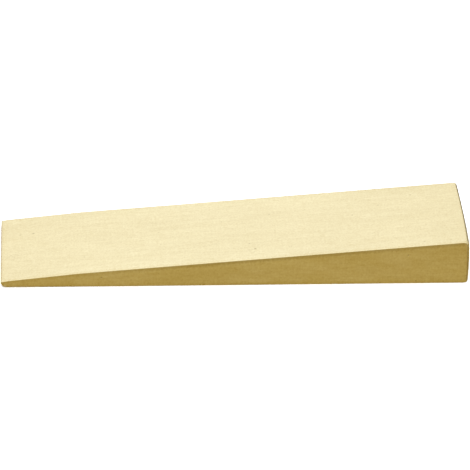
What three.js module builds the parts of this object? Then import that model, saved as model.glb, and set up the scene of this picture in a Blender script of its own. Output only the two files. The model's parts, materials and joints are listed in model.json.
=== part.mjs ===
// Felling wedge: one solid, ground piece of copper alloy with nothing fixed to it.
//
// Millimetres, +Z up. The base lies on Z = 0 and the origin is the middle of the base. The blunt tip
// points along -X and the striking head faces +X. The side outline is drawn in the X-Z plane and
// carried across the width along Y, with every edge rounded over.

import * as THREE from 'three';

// Driving dimensions.
const LENGTH = 200; // tip to striking head
const WIDTH = 60; // across both side faces, the same from tip to head
const HEAD_HEIGHT = 19.45; // thickness at the striking head
const HEAD_LAND = 9; // height of the flat band across the middle of the striking head
const HEAD_RELIEF = 0.35; // how far the head falls back from that band at its top and bottom
const TIP_HEIGHT = 3.0; // top of the blunt tip above the ground
const FACET_LENGTH = 34; // steeper facet ground on the top, measured back from the tip
const FACET_HEIGHT = 6.6; // height of the top face where that facet ends
const RELIEF_LENGTH = 60; // stretch of the underside that is dressed upwards towards the tip
const RELIEF_HEIGHT = 0.3; // how far the underside clears the ground at the tip

// Rounded edges.
const SIDE_EDGE_RADIUS = 0.5; // all the way around each side face
const HEAD_TOP_RADIUS = 0.6;
const HEAD_UNDER_RADIUS = 1.2;
const TIP_TOP_RADIUS = 0.8;
const TIP_UNDER_RADIUS = 1.3;
const SHARP = 0; // a corner between two faces that are nearly level, left as ground
const CORNER_STEPS = 3; // half the straight steps around a rounded corner of the outline
const EDGE_STEPS = 4; // straight steps around the edge of a side face

const TIP_X = -LENGTH / 2;
const HEAD_X = LENGTH / 2;
const HEAD_EDGE_X = HEAD_X - HEAD_RELIEF;
const LAND_BOTTOM = (HEAD_HEIGHT - HEAD_LAND) / 2;
const LAND_TOP = (HEAD_HEIGHT + HEAD_LAND) / 2;

function corner(x, z, radius) {
  return { at: new THREE.Vector2(x, z), radius };
}

// The corners of the side outline before rounding, anticlockwise from under the tip.
function outlineCorners() {
  return [
    corner(TIP_X, RELIEF_HEIGHT, TIP_UNDER_RADIUS),
    corner(TIP_X + RELIEF_LENGTH, 0, SHARP),
    corner(HEAD_EDGE_X, 0, HEAD_UNDER_RADIUS),
    corner(HEAD_X, LAND_BOTTOM, SHARP),
    corner(HEAD_X, LAND_TOP, SHARP),
    corner(HEAD_EDGE_X, HEAD_HEIGHT, HEAD_TOP_RADIUS),
    corner(TIP_X + FACET_LENGTH, FACET_HEIGHT, SHARP),
    corner(TIP_X, TIP_HEIGHT, TIP_TOP_RADIUS),
  ];
}

// Adds one convex corner to the outline: the corner itself if it is sharp, or else the arc that
// touches the straight sides before and after it.
function addCorner(shape, before, { at, radius }, after) {
  if (radius === SHARP) {
    shape.lineTo(at.x, at.y);
    return;
  }
  const inward = at.clone().sub(before.at).normalize();
  const outward = after.at.clone().sub(at).normalize();
  const turn = Math.acos(inward.dot(outward));
  const start = at.clone().addScaledVector(inward, -radius * Math.tan(turn / 2));
  const left = new THREE.Vector2(-inward.y, inward.x);
  const centre = start.clone().addScaledVector(left, radius);
  const startAngle = Math.atan2(-left.y, -left.x);
  shape.absarc(centre.x, centre.y, radius, startAngle, startAngle + turn, false);
}

// The first corner is a rounded one, so the outline starts on its arc.
function sideOutline() {
  const corners = outlineCorners();
  const shape = new THREE.Shape();
  corners.forEach((each, i) => {
    const before = corners[(i + corners.length - 1) % corners.length];
    const after = corners[(i + 1) % corners.length];
    addCorner(shape, before, each, after);
  });
  return shape;
}

// The edges are rounded inwards from the outline and from the full width.
function bodyGeometry() {
  return new THREE.ExtrudeGeometry(sideOutline(), {
    depth: WIDTH - 2 * SIDE_EDGE_RADIUS,
    curveSegments: CORNER_STEPS,
    bevelSize: SIDE_EDGE_RADIUS,
    bevelThickness: SIDE_EDGE_RADIUS,
    bevelOffset: -SIDE_EDGE_RADIUS,
    bevelSegments: EDGE_STEPS,
  });
}

function wedgeBody() {
  const groundAlloy = new THREE.MeshStandardMaterial({
    color: 0xdcc887,
    roughness: 0.38,
    metalness: 1.0,
  });
  const mesh = new THREE.Mesh(bodyGeometry(), groundAlloy);
  mesh.name = 'wedge_body';
  mesh.rotation.x = Math.PI / 2;
  mesh.position.y = WIDTH / 2 - SIDE_EDGE_RADIUS;
  return mesh;
}

const fellingWedge = new THREE.Group();
fellingWedge.add(wedgeBody());

export default fellingWedge;
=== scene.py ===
"""The looks of the felling wedge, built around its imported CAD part. Metres, +Z up, tip towards -X."""

import json
import math
import random

import bpy
import numpy as np
from mathutils import Matrix, Vector, noise


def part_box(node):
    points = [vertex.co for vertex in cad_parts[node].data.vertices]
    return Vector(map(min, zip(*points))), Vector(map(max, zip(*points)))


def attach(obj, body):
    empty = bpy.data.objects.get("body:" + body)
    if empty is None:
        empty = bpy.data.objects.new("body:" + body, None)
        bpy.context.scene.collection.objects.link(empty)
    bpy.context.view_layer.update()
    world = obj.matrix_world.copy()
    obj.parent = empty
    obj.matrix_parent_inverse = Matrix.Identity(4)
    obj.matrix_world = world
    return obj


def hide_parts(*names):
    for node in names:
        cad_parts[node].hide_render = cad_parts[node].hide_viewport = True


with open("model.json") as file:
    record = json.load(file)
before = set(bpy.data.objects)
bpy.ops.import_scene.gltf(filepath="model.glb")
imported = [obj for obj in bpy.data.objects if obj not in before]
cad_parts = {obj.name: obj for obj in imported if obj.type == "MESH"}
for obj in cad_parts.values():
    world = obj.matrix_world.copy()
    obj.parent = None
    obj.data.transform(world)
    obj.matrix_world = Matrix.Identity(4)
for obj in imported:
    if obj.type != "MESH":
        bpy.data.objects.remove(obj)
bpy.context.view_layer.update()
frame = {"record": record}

MM = 0.001

# The block, from the frame.
LOW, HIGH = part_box("wedge_body")
TIP_X, HEAD_X = LOW.x, HIGH.x
WIDTH = HIGH.y - LOW.y
MOUNTS = {mount["name"]: mount for mount in frame["record"]["mounts"]}

# What the frame doesn't say about the side outline.
TIP_HEIGHT = 3.0 * MM
FACET_LENGTH = 34 * MM  # the steeper facet ground on the top behind the tip
FACET_BLEND = 0.05 * MM  # metal lost where the facet runs into the long taper
RELIEF_LENGTH = 60 * MM  # the stretch of underside dressed upwards towards the tip
RELIEF_HEIGHT = 0.3 * MM
HEAD_CROWN = 0.35 * MM  # the striking head falls back by this at its top and bottom edges
HEAD_PLAN_CROWN = 0.3 * MM  # and by this towards its two side edges
HEAD_SKEW = 0.18 * MM  # a little more at the near edge, and less at the far one
HEAD_CROWN_DEPTH = 4 * MM  # the crowning takes metal off this much of the length

# Corners of the side outline. A flatness of 0 rounds a corner, and 1 bevels it.
HEAD_TOP_CORNER = 0.7 * MM
HEAD_TOP_CORNER_NEAR = 1.0 * MM  # the same corner where it meets the near side face
HEAD_UNDER_CORNER = 1.2 * MM
TIP_TOP_CORNER = 0.7 * MM
TIP_UNDER_CORNER = 1.8 * MM
HEAD_BEVEL_FLATNESS = 0.8
SMALLEST_CORNER = 0.05 * MM

# Rounded edges around the two side faces.
SIDE_EDGE = 0.4 * MM
HEAD_SIDE_EDGE = 1.0 * MM
TIP_SIDE_EDGE = 0.7 * MM
SIDE_EDGE_FADE = 3 * MM  # a side edge grows to its size at the ends over this length

# How finely the block is meshed.
STATIONS = 300  # along the top and the underside
ROWS = 92  # across the width
ARC_STEPS = 5  # around each rounded corner and each rounded edge
COLUMN_STEPS = 16  # down the tip and the head
CROWDING = 0.6  # 0 spaces the rows evenly, towards 1 crowds them at the edges

# How far hand grinding and handling have left the surface from its true planes.
WAVE_DEPTH = 0.05 * MM
WAVE_LENGTH = 26 * MM
DING_COUNT = 40
DING_SEED = 5
DING_RADIUS = (0.7 * MM, 1.8 * MM)
DING_DEPTH = (0.02 * MM, 0.07 * MM)

# Dark marks on the top face: from the tip, from the near side face, radius and strength. The last
# one darkens the near corner of the head.
MARKS = (
    (13.9 * MM, 43.2 * MM, 0.9 * MM, 0.9),
    (8.3 * MM, 43.1 * MM, 0.8 * MM, 0.6),
    (68.8 * MM, 21.2 * MM, 0.7 * MM, 0.6),
    (75.3 * MM, 34.8 * MM, 0.7 * MM, 0.5),
    (116.5 * MM, 42.2 * MM, 0.8 * MM, 0.6),
    (123.6 * MM, 9.3 * MM, 0.9 * MM, 0.8),
    (108.5 * MM, 10.0 * MM, 0.9 * MM, 0.8),
    (4.8 * MM, 23.0 * MM, 6.0 * MM, 0.15),
    (91.9 * MM, 18.0 * MM, 3.0 * MM, 0.12),
    (107.0 * MM, 8.4 * MM, 3.5 * MM, 0.15),
    (161.8 * MM, 16.0 * MM, 5.0 * MM, 0.1),
    (199.5 * MM, 0.5 * MM, 2.5 * MM, 1.0),
)

# The camera: a little above the block and far off, nearly square to its side.
CAMERA_AZIMUTH = math.radians(-3.1)
CAMERA_ELEVATION = math.radians(25.9)
CAMERA_ROLL = math.radians(0.78)
CAMERA_DISTANCE = 1.6918
CAMERA_RISE = 21.4 * MM  # from the near lower edge of the block up to the middle of the view
CAMERA_ASIDE = -0.36 * MM  # from the middle of the block's length, towards the tip
LENS_MM = 304.1
SENSOR_MM = 36


# ---------------------------------------------------------------- side outline, in the X-Z plane


def face_line(mount):
    """(slope, height at X = 0) of the flat face that a mount stands on, seen from the side."""
    normal = Vector(mount["axis"])
    point = Vector(mount["pos_m"])
    slope = -normal.x / normal.z
    return slope, point.z - slope * point.x


TAPER_SLOPE, TAPER_HEIGHT = face_line(MOUNTS["lifting_face"])
FACET_END_HEIGHT = TAPER_HEIGHT + TAPER_SLOPE * (TIP_X + FACET_LENGTH)
FACET_SLOPE = (FACET_END_HEIGHT - TIP_HEIGHT) / FACET_LENGTH


def soft_min(a, b, blend):
    """The smaller of a and b, rounded off where they differ by less than blend."""
    overlap = max(blend - abs(a - b), 0) / blend
    return min(a, b) - overlap * overlap * blend / 4


def on_top(x, inset=0.0):
    """The point of the top face at x, or of the line that lies inset below it."""
    taper = TAPER_HEIGHT + TAPER_SLOPE * x
    facet = TIP_HEIGHT + FACET_SLOPE * (x - TIP_X)
    return Vector((x, soft_min(taper, facet, FACET_BLEND) - inset))


def on_underside(x, inset=0.0):
    """The point of the underside at x, or of the line that lies inset above it."""
    relief = RELIEF_HEIGHT * (1 - (x - TIP_X) / RELIEF_LENGTH)
    return Vector((x, inset - soft_min(-relief, 0, FACET_BLEND)))


def side_edge(x, part):
    """(inset from the outline, depth from the side face) at one part of the way round a side edge.

    Part 0 lies on the side face and part 1 clear of the edge, on the full outline.
    """
    near_tip = max(1 - (x - TIP_X) / SIDE_EDGE_FADE, 0)
    near_head = max(1 - (HEAD_X - x) / SIDE_EDGE_FADE, 0)
    growth = (TIP_SIDE_EDGE - SIDE_EDGE) * near_tip + (HEAD_SIDE_EDGE - SIDE_EDGE) * near_head
    size = SIDE_EDGE + growth
    bevel = HEAD_BEVEL_FLATNESS * near_head
    angle = part * math.pi / 2
    inset = size * ((1 - bevel) * (1 - math.sin(angle)) + bevel * (1 - part))
    depth = size * ((1 - bevel) * (1 - math.cos(angle)) + bevel * part)
    return inset, depth


def shrunk(size, inset, flatness):
    """What is left of a corner of that size on an outline moved inwards."""
    bevel_loss = 2 - math.sqrt(2)
    return max(size - inset * (1 - flatness + flatness * bevel_loss), SMALLEST_CORNER)


def corner_curve(before, at, after, size, flatness=0.0):
    """The corner `at` rounded by an arc of radius size, flattened towards a bevel."""
    inward = (at - before).normalized()
    outward = (after - at).normalized()
    turn = inward.angle(outward)
    inside = (outward - inward).normalized()
    centre = at + inside * size / math.cos(turn / 2)
    across = Vector((-inside.y, inside.x))
    side = 1 if across.dot(outward) > 0 else -1
    start = at - inward * size * math.tan(turn / 2)
    end = at + outward * size * math.tan(turn / 2)
    points = []
    for i in range(ARC_STEPS + 1):
        angle = turn * (i / ARC_STEPS - 0.5)
        arc = centre - size * (math.cos(angle) * inside - side * math.sin(angle) * across)
        bevel = start.lerp(end, i / ARC_STEPS)
        points.append(arc.lerp(bevel, flatness))
    return points


def end_column(x, inwards, part, top_size, under_size, top_flatness=0.0):
    """One end of the outline, from the top face down to the underside: a corner, a straight, a corner.

    inwards is 1 at the tip and -1 at the head.
    """
    inset, _ = side_edge(x, part)
    x += inwards * inset
    inner_x = x + inwards * FACET_LENGTH / 2
    top, under = on_top(x, inset), on_underside(x, inset)
    top_size = shrunk(top_size, inset, top_flatness)
    under_size = shrunk(under_size, inset, 0)
    top_curve = corner_curve(on_top(inner_x, inset), top, under, top_size, top_flatness)
    under_curve = corner_curve(top, under, on_underside(inner_x, inset), under_size)
    steps = COLUMN_STEPS - 2 * ARC_STEPS
    straight = [top_curve[-1].lerp(under_curve[0], i / steps) for i in range(1, steps)]
    return top_curve + straight + under_curve


def crowded(steps):
    """Fractions from 0 to 1, closer together at both ends."""
    even = [i / steps for i in range(steps + 1)]
    return [t - CROWDING * math.sin(math.tau * t) / math.tau for t in even]


def side_outline(across, part):
    """The closed outline, clockwise from the top of the tip: top face, head, underside, tip.

    across is -1 at the near side face and 1 at the far one, and part is how far round the side edge.
    """
    near = max(-across, 0) ** 2
    head_top = HEAD_TOP_CORNER + (HEAD_TOP_CORNER_NEAR - HEAD_TOP_CORNER) * near
    tip = end_column(TIP_X, 1, part, TIP_TOP_CORNER, TIP_UNDER_CORNER)
    head = end_column(HEAD_X, -1, part, head_top, HEAD_UNDER_CORNER, HEAD_BEVEL_FLATNESS)
    spacing = crowded(STATIONS)[1:-1]  # without the two ends, which are on the columns
    top_x = [tip[0].x + t * (head[0].x - tip[0].x) for t in spacing]
    under_x = [tip[-1].x + t * (head[-1].x - tip[-1].x) for t in spacing]
    top = [on_top(x, side_edge(x, part)[0]) for x in top_x]
    under = [on_underside(x, side_edge(x, part)[0]) for x in under_x]
    return [tip[0]] + top + head + under[::-1] + tip[:0:-1]


# ---------------------------------------------------------------- the block's mesh


def layer(across, part):
    """The outline placed across the width. Part runs round the side edge and is 1 between the edges."""
    outline = side_outline(across, part)
    return np.array([(p.x, across * (WIDTH / 2 - side_edge(p.x, part)[1]), p.y) for p in outline])


def block_layers():
    """Outlines across the width, from the near side face to the far one."""
    parts = [step / ARC_STEPS for step in range(ARC_STEPS + 1)]
    near = [layer(-1, part) for part in parts]
    far = [layer(1, part) for part in parts]
    middle = [layer(2 * t - 1, 1) for t in crowded(ROWS)[1:-1]]
    return near + middle + far[::-1]


def loop_faces(first, second, count):
    """Quads between two layers whose points start at the indices first and second."""
    around = [(i, (i + 1) % count) for i in range(count)]
    return [(first + i, first + j, second + j, second + i) for i, j in around]


def side_face(start, outline_layer, points, mirrored):
    """Fills one side face with a grid between the top, the underside, the tip and the head.

    Adds the grid's inner points to points, and gives its faces.
    """
    count = len(outline_layer)
    inner = len(points)
    faces = []

    def index(station, step):
        if step == 0:
            return start + station
        if step == COLUMN_STEPS:
            return start + (2 * STATIONS + COLUMN_STEPS - station)
        if station == STATIONS:
            return start + STATIONS + step
        if station == 0:
            return start + (count - step) % count
        return inner + (station - 1) * (COLUMN_STEPS - 1) + step - 1

    for station in range(1, STATIONS):
        top = outline_layer[station]
        under = outline_layer[2 * STATIONS + COLUMN_STEPS - station]
        for step in range(1, COLUMN_STEPS):
            points.append(top + (under - top) * step / COLUMN_STEPS)
    for station in range(STATIONS):
        for step in range(COLUMN_STEPS):
            quad = [
                index(station, step),
                index(station, step + 1),
                index(station + 1, step + 1),
                index(station + 1, step),
            ]
            faces.append(quad[::-1] if mirrored else quad)
    return faces


def crown_head(points):
    """Lets the striking head fall back towards its four edges."""
    depth = np.clip((points[:, 0] - HEAD_X + HEAD_CROWN_DEPTH) / HEAD_CROWN_DEPTH, 0, 1)
    up = 2 * points[:, 2] / on_top(HEAD_X).y - 1
    across = 2 * points[:, 1] / WIDTH
    plan = HEAD_PLAN_CROWN * across**2 - HEAD_SKEW * across
    points[:, 0] -= depth * (HEAD_CROWN * up**2 + plan)


def wave_depths(points):
    """Gentle hollows, from 0 to the full wave depth."""
    return [WAVE_DEPTH * (1 + noise.noise(Vector(p) / WAVE_LENGTH)) / 2 for p in points]


def ding_depths(points):
    """Small dings. The points crowd along the edges, and so do the dings."""
    chance = random.Random(DING_SEED)
    depths = np.zeros(len(points))
    for _ in range(DING_COUNT):
        centre = points[chance.randrange(len(points))]
        radius = chance.uniform(*DING_RADIUS)
        distance = np.linalg.norm(points - centre, axis=1) / radius
        depths += chance.uniform(*DING_DEPTH) * np.clip(1 - distance**2, 0, 1) ** 2
    return depths


def edge_distances(points):
    """How far each point lies from the nearest edge: its distance to the second nearest face."""
    x, y, z = points.T
    top = np.array([on_top(value).y for value in x])
    under = np.array([on_underside(value).y for value in x])
    to_faces = np.stack([x - TIP_X, HEAD_X - x, WIDTH / 2 - np.abs(y), top - z, z - under])
    return np.sort(np.abs(to_faces), axis=0)[1]


def store(mesh, name, values):
    """Keeps one number per point for the material to read."""
    mesh.attributes.new(name, "FLOAT", "POINT").data.foreach_set("value", values)


def build_block():
    """The whole block as one closed mesh, worn down from its true planes along its normals."""
    layers = block_layers()
    count = len(layers[0])
    points = [point for each in layers for point in each]
    faces = []
    for i in range(len(layers) - 1):
        faces += loop_faces(i * count, (i + 1) * count, count)
    faces += side_face(0, layers[0], points, mirrored=False)
    faces += side_face((len(layers) - 1) * count, layers[-1], points, mirrored=True)
    points = np.array(points)
    distances = edge_distances(points)
    below_top = [on_top(x).y - z for x, _, z in points]
    crown_head(points)
    mesh = bpy.data.meshes.new("ground_wedge")
    mesh.from_pydata(points.tolist(), [], faces)
    mesh.update()
    normals = np.array([vertex.normal for vertex in mesh.vertices])
    depths = wave_depths(points) + ding_depths(points)
    points -= normals * depths[:, None]
    mesh.vertices.foreach_set("co", points.ravel())
    store(mesh, "edge_distance", distances)
    store(mesh, "below_top", below_top)
    mesh.shade_smooth()
    mesh.update()
    return bpy.data.objects.new("ground_wedge", mesh)


# ---------------------------------------------------------------- material


class Graph:
    """Adds nodes to a node tree, with their inputs given by name."""

    def __init__(self, tree):
        self.tree = tree
        tree.nodes.clear()

    def add(self, kind, inputs=None, **settings):
        node = self.tree.nodes.new(kind)
        for name, value in settings.items():
            setattr(node, name, value)
        for name, value in (inputs or {}).items():
            if isinstance(value, bpy.types.NodeSocket):
                self.tree.links.new(value, node.inputs[name])
            else:
                node.inputs[name].default_value = value
        return node

    def math(self, operation, a, b=0.0):
        return self.add("ShaderNodeMath", {0: a, 1: b}, operation=operation).outputs[0]

    def weigh(self, *terms):
        """The sum of (value - 0.5) * weight over the terms, so that it varies about 0."""
        total = 0.0
        for value, weight in terms:
            centred = self.math("SUBTRACT", value, 0.5)
            total = self.math("ADD", total, self.math("MULTIPLY", centred, weight))
        return total

    def speckle(self, coords, size, detail=2.0):
        """Noise whose features have the given size in metres along X, Y and Z."""
        scale = [1 / length for length in size]
        mapped = self.add("ShaderNodeMapping", {"Vector": coords, "Scale": scale})
        inputs = {"Vector": mapped.outputs[0], "Scale": 1.0, "Detail": detail}
        return self.add("ShaderNodeTexNoise", inputs).outputs[0]

    def between(self, factor, a, b):
        """The value a where factor is 0, b where it is 1."""
        return self.add("ShaderNodeMix", {"Factor": factor, "A": a, "B": b}).outputs["Result"]

    def mix(self, factor, a, b):
        """The colour a where factor is 0, b where it is 1."""
        inputs = {"Factor": factor, "A": a, "B": b}
        return self.add("ShaderNodeMix", inputs, data_type="RGBA").outputs["Result"]

    def ramp(self, value, low, high):
        """0 below low, 1 above high, smooth between them."""
        inputs = {"Value": value, "From Min": low, "From Max": high}
        return self.add("ShaderNodeMapRange", inputs, interpolation_type="SMOOTHSTEP").outputs[0]


# Colours of the metal, from dull to bright, and of the tarnish in its pits and marks, which also colours
# the painted shade line just below the top face.
DULL_METAL = (0.80, 0.68, 0.37, 1)
BRIGHT_METAL = (1.0, 0.91, 0.59, 1)
TARNISH_AND_SHADE = (0.55, 0.45, 0.22, 1)
MEDIUM_TONE = 0.55  # 0 is dull and 1 is bright
# How much darker the metal is made towards the tip and the head.
END_DARKENING = 0.15
# Painted shade: how much darker the metal is painted beside its edges.
EDGE_SHADE_DARKENING = 0.2
SCRATCH_DULLNESS = 0.25

# Grinding marks: how long they are and how far apart.
HAIRLINE = (9 * MM, 0.14 * MM)
STREAK = (6 * MM, 0.8 * MM)
DRAG = (45 * MM, 2.4 * MM)

# Sizes of the other patterns along X, Y and Z.
RUB = (0.8 * MM, 6 * MM, 6 * MM)
GRAIN = (0.8 * MM, 0.8 * MM, 0.8 * MM)
CLOUD = (40 * MM, 18 * MM, 9 * MM)
SCRATCH = (30 * MM, 2.5 * MM, 2.5 * MM)
SCRATCH_PATCH = (22 * MM, 10 * MM, 10 * MM)

# How wide the stretches beside the edges are: full up to the first distance, none from the second.
WORN_EDGE = (0.1 * MM, 1.1 * MM)
# Painted shade beside every edge.
PAINTED_EDGE_SHADE = (0.5 * MM, 2.0 * MM)
# Painted shade: a dark line on the side faces just below the top face.
SHADE_LINE = (0.8 * MM, 2.2 * MM)
EDGE_RAGGEDNESS = 1.5 * MM
SHADE_LINE_RAGGEDNESS = 1.0 * MM
SHADE_LINE_STRENGTH = 0.45

PIT_SPACING = 9 * MM
PIT_RADIUS = (0.02, 0.06)  # of the spacing
PIT_STRENGTH = 0.6
SCRATCH_WIDTH = 0.012  # in the noise value that draws the scratches
SCRATCHED = (0.5, 0.62)  # noise values between which scratches come in
MARK_CORE = 0.2  # part of a mark's radius that has its full strength
MARK_GRAIN = (0.65, 0.35)  # grain values between which a mark comes in
BUMP_DEPTH = 0.02 * MM
ROUGHNESS = 0.34

# How much of a normal has to lie along X for an end, and along Y for a side face.
END_NORMAL = (0.5, 0.8)
SIDE_NORMAL = (0.8, 0.98)


def ground_alloy():
    """Satin copper alloy: ground along its length, across its two ends, and scuffed in the handling,
    with painted shade beside its edges and just below its top face.
    """
    material = bpy.data.materials.new("ground_alloy")
    material.use_nodes = True
    g = Graph(material.node_tree)
    place = g.add("ShaderNodeTexCoord")
    coords = place.outputs["Object"]
    facing = g.add("ShaderNodeSeparateXYZ", {0: place.outputs["Normal"]}).outputs
    on_end = g.ramp(g.math("ABSOLUTE", facing["X"]), *END_NORMAL)
    on_side = g.ramp(g.math("ABSOLUTE", facing["Y"]), *SIDE_NORMAL)

    hairline = grinding(g, coords, on_end, *HAIRLINE)
    streak = grinding(g, coords, on_end, *STREAK)
    drag = grinding(g, coords, on_end, *DRAG)
    rub = g.speckle(coords, RUB)
    grain = g.speckle(coords, GRAIN, detail=4.0)
    cloud = g.speckle(coords, CLOUD)
    marks = marking(g, coords, grain)
    pits = pitting(g, coords)
    scratches = scratching(g, coords)
    worn = near_edge(g, grain, WORN_EDGE)
    # Painted shade beside every edge, where the rounded edges turn away from the light.
    painted_edge_shade = near_edge(g, grain, PAINTED_EDGE_SHADE)
    # Painted shade: a dark line on the side faces just below the top face.
    shade_line = g.math("MULTIPLY", painted_shade_line(g, coords, grain), on_side)

    tone = g.weigh(
        (streak, 0.6),
        (grain, 1.2),
        (drag, 0.4),
        (rub, 0.35),
        (cloud, 0.5),
        (hairline, 0.4),
    )
    # Painted shade darkens the metal beside the edges.
    tone = g.math("SUBTRACT", tone, g.math("MULTIPLY", painted_edge_shade, EDGE_SHADE_DARKENING))
    tone = g.math("SUBTRACT", tone, g.math("MULTIPLY", scratches, SCRATCH_DULLNESS))
    tone = g.math("SUBTRACT", tone, darker_ends(g, coords))
    metal = g.mix(g.math("ADD", tone, MEDIUM_TONE), DULL_METAL, BRIGHT_METAL)
    # The tarnish colour paints the pits and marks, and also the painted shade line below the top face.
    tarnish_and_shade = g.math("MAXIMUM", marks, shade_line)
    tarnish_and_shade = g.math("MAXIMUM", tarnish_and_shade, g.math("MULTIPLY", pits, PIT_STRENGTH))
    colour = g.mix(tarnish_and_shade, metal, TARNISH_AND_SHADE)

    height = g.weigh((streak, 0.5), (grain, 0.5), (hairline, 0.5), (pits, -3.0), (scratches, -0.8))
    bump = g.add("ShaderNodeBump", {"Height": height, "Distance": BUMP_DEPTH, "Strength": 1.0})
    rough = g.math("ADD", g.weigh((streak, 0.15), (cloud, 0.15), (worn, -0.08)), ROUGHNESS)
    surface = g.add(
        "ShaderNodeBsdfPrincipled",
        {"Base Color": colour, "Metallic": 1.0, "Roughness": rough, "Normal": bump.outputs[0]},
    )
    g.add("ShaderNodeOutputMaterial", {"Surface": surface.outputs[0]})
    return material


def grinding(g, coords, on_end, length, pitch):
    """Grinding marks: along the block's length, and across the width on its two ends."""
    lengthwise = g.speckle(coords, (length, pitch, pitch))
    crosswise = g.speckle(coords, (pitch, length, pitch))
    return g.between(on_end, lengthwise, crosswise)


def pitting(g, coords):
    """A few small pits, 1 at their middle."""
    cells = g.add("ShaderNodeTexVoronoi", {"Vector": coords, "Scale": 1 / PIT_SPACING})
    return g.math("SUBTRACT", 1.0, g.ramp(cells.outputs["Distance"], *PIT_RADIUS))


def marking(g, coords, grain):
    """The dark marks on the top face, broken up by the grain."""
    total = 0.0
    for from_tip, from_side, radius, strength in MARKS:
        x, y = TIP_X + from_tip, LOW.y + from_side
        centre = (x, y, on_top(x).y)
        away = g.add("ShaderNodeVectorMath", {0: coords, 1: centre}, operation="DISTANCE")
        distance = away.outputs["Value"]
        fade = g.math("SUBTRACT", 1.0, g.ramp(distance, MARK_CORE * radius, radius))
        total = g.math("ADD", total, g.math("MULTIPLY", fade, strength))
    return g.math("MULTIPLY", total, g.ramp(grain, *MARK_GRAIN))


def darker_ends(g, coords):
    """0 in the middle of the length, rising towards the tip and the head."""
    x = g.add("ShaderNodeSeparateXYZ", {0: coords}).outputs["X"]
    outwards = g.math("DIVIDE", x, HEAD_X)
    return g.math("MULTIPLY", g.math("MULTIPLY", outwards, outwards), END_DARKENING)


def painted_shade_line(g, coords, grain):
    """A painted shade: the dark line just below the top face, which fades out towards the tip."""
    depth = g.add("ShaderNodeAttribute", attribute_name="below_top").outputs["Fac"]
    uneven = g.math("ADD", depth, g.math("MULTIPLY", g.math("SUBTRACT", grain, 0.5), SHADE_LINE_RAGGEDNESS))
    line = g.math("SUBTRACT", 1.0, g.ramp(uneven, *SHADE_LINE))
    x = g.add("ShaderNodeSeparateXYZ", {0: coords}).outputs["X"]
    return g.math("MULTIPLY", g.math("MULTIPLY", line, g.ramp(x, TIP_X, 0.0)), SHADE_LINE_STRENGTH)


def scratching(g, coords):
    """Thin scratches where a stretched noise crosses its middle value, in patches."""
    field = g.speckle(coords, SCRATCH, detail=1.0)
    from_middle = g.math("ABSOLUTE", g.math("SUBTRACT", field, 0.5))
    line = g.math("SUBTRACT", 1.0, g.ramp(from_middle, 0.0, SCRATCH_WIDTH))
    patches = g.ramp(g.speckle(coords, SCRATCH_PATCH), *SCRATCHED)
    return g.math("MULTIPLY", line, patches)


def near_edge(g, grain, stretch):
    """1 beside the block's edges and 0 beyond the stretch, broken up by the grain."""
    distance = g.add("ShaderNodeAttribute", attribute_name="edge_distance").outputs["Fac"]
    uneven = g.math("ADD", distance, g.math("MULTIPLY", g.math("SUBTRACT", grain, 0.5), EDGE_RAGGEDNESS))
    return g.math("SUBTRACT", 1.0, g.ramp(uneven, *stretch))


# ---------------------------------------------------------------- studio

SKY_LOW = (0.982, 0.987, 1.018, 1)
SKY_HIGH = (1.10, 1.105, 1.14, 1)
TABLE_GLOW = (0.44, 0.333, 0.105, 1)
HORIZON = (-0.02, 0.16)  # the heights, from -1 to 1, between which the glow turns to white
BACKDROP = (1.2, 1.2, 1.2, 1)

# Two dark cards stand low beyond the head and draw the line along its rim.
CARD_DIRECTIONS = (
    Vector((0.38, 0.91, -0.12)).normalized(),
    Vector((0.84, -0.25, -0.44)).normalized(),
)
CARD_EDGE = (math.cos(math.radians(30)), math.cos(math.radians(12)))
CARD_COLOUR = (0.15, 0.115, 0.045, 1)

FLOOR_RADIUS = 30
FLOOR_COLOUR = (0.9, 0.9, 0.9, 1)
SOFTBOX_SIZE = 2.5
SOFTBOX_WATTS = 60
SOFTBOX_HEIGHT = 2.0


def make_floor():
    """Pale and plain. The metal doesn't mirror it, and no shadow falls from it."""
    bpy.ops.mesh.primitive_circle_add(vertices=64, radius=FLOOR_RADIUS, fill_type="NGON")
    floor = bpy.context.object
    floor.name = "floor"
    material = bpy.data.materials.new("pale_floor")
    material.use_nodes = True
    g = Graph(material.node_tree)
    surface = g.add("ShaderNodeBsdfDiffuse", {"Color": FLOOR_COLOUR})
    g.add("ShaderNodeOutputMaterial", {"Surface": surface.outputs[0]})
    floor.data.materials.append(material)
    floor.visible_glossy = False
    floor.visible_shadow = False


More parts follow.
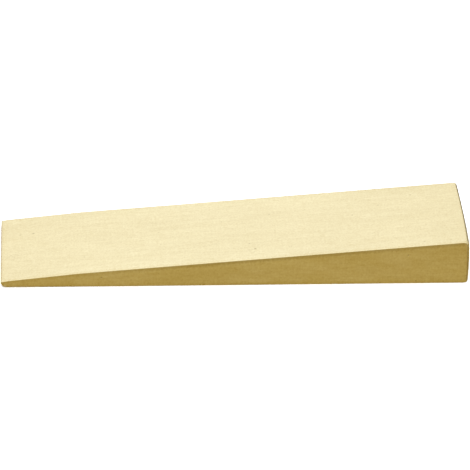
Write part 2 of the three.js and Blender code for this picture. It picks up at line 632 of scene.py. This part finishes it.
def make_world():
    """White for the camera. The metal mirrors white above the horizon and a warm glow below it."""
    world = bpy.data.worlds.new("studio")
    bpy.context.scene.world = world
    world.use_nodes = True
    g = Graph(world.node_tree)
    direction = g.add("ShaderNodeTexCoord").outputs["Generated"]
    height = g.add("ShaderNodeSeparateXYZ", {0: direction}).outputs["Z"]
    white = g.mix(g.ramp(height, 0.0, 1.0), SKY_LOW, SKY_HIGH)
    colour = g.mix(g.ramp(height, *HORIZON), TABLE_GLOW, white)
    for card in CARD_DIRECTIONS:
        towards = g.add("ShaderNodeVectorMath", {0: direction, 1: card}, operation="DOT_PRODUCT")
        colour = g.mix(g.ramp(towards.outputs["Value"], *CARD_EDGE), colour, CARD_COLOUR)
    seen = g.add("ShaderNodeLightPath").outputs["Is Camera Ray"]
    background = g.add("ShaderNodeBackground", {"Color": g.mix(seen, colour, BACKDROP)})
    g.add("ShaderNodeOutputWorld", {"Surface": background.outputs[0]})


def make_key_light():
    data = bpy.data.lights.new("softbox", "AREA")
    data.shape = "SQUARE"
    data.size = SOFTBOX_SIZE
    data.energy = SOFTBOX_WATTS
    light = bpy.data.objects.new("softbox", data)
    light.location = (0, 0, SOFTBOX_HEIGHT)
    light.visible_glossy = False
    bpy.context.scene.collection.objects.link(light)


def make_camera():
    data = bpy.data.cameras.new("camera")
    data.lens = LENS_MM
    data.sensor_width = SENSOR_MM
    camera = bpy.data.objects.new("camera", data)
    around, tilt = CAMERA_AZIMUTH, CAMERA_ELEVATION
    outwards = Vector((math.sin(around), -math.cos(around), 0))
    back = outwards * math.cos(tilt) + Vector((0, 0, math.sin(tilt)))
    level = Vector((math.cos(around), math.sin(around), 0))
    axes = Matrix((level, back.cross(level), back)).transposed()
    turned = axes @ Matrix.Rotation(CAMERA_ROLL, 3, "Z")
    near_edge = Vector((0, LOW.y, 0))
    aim = near_edge + turned.col[1] * CAMERA_RISE + turned.col[0] * CAMERA_ASIDE
    camera.matrix_world = Matrix.Translation(aim + back * CAMERA_DISTANCE) @ turned.to_4x4()
    bpy.context.scene.collection.objects.link(camera)
    bpy.context.scene.camera = camera


# ---------------------------------------------------------------- the scene

make_camera()
make_floor()
make_world()
make_key_light()

wedge = build_block()
bpy.context.scene.collection.objects.link(wedge)
wedge.data.materials.append(ground_alloy())
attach(wedge, "root")
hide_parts("wedge_body")

bpy.context.scene.view_settings.view_transform = "Standard"
